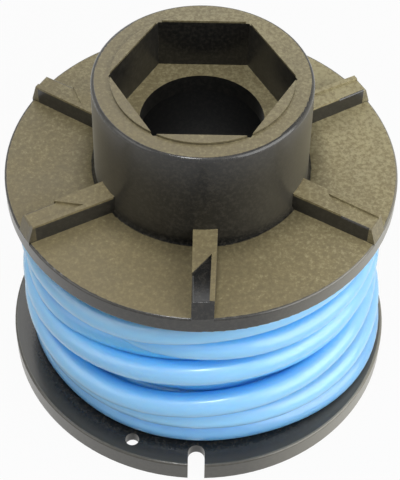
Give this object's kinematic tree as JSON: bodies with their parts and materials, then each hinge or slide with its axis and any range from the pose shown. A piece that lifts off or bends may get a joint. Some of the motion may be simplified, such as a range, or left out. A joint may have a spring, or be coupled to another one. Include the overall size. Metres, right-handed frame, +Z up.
{
  "type": "trimmer line spool",
  "caption": "Black moulded spool with a skirted lower flange, a ribbed upper flange and a hub with a hexagon drive socket, wound with blue nylon trimmer line.",
  "frame": {"origin": "centre of the underside, on the surface that the spool stands on", "axes": "+Z up along the spool axis towards the hub, -Y towards the line notch in the lower flange"},
  "size_m": [0.0485, 0.0484, 0.0448],
  "materials": {
    "black_plastic": "moulded black plastic with a fine grain, handled and dusty on top",
    "blue_line": "extruded blue nylon line, smooth and slightly translucent"
  },
  "bodies": {
    "root": {"spool_body": "black_plastic", "line_winding": "blue_line"}
  },
  "joints": []
}
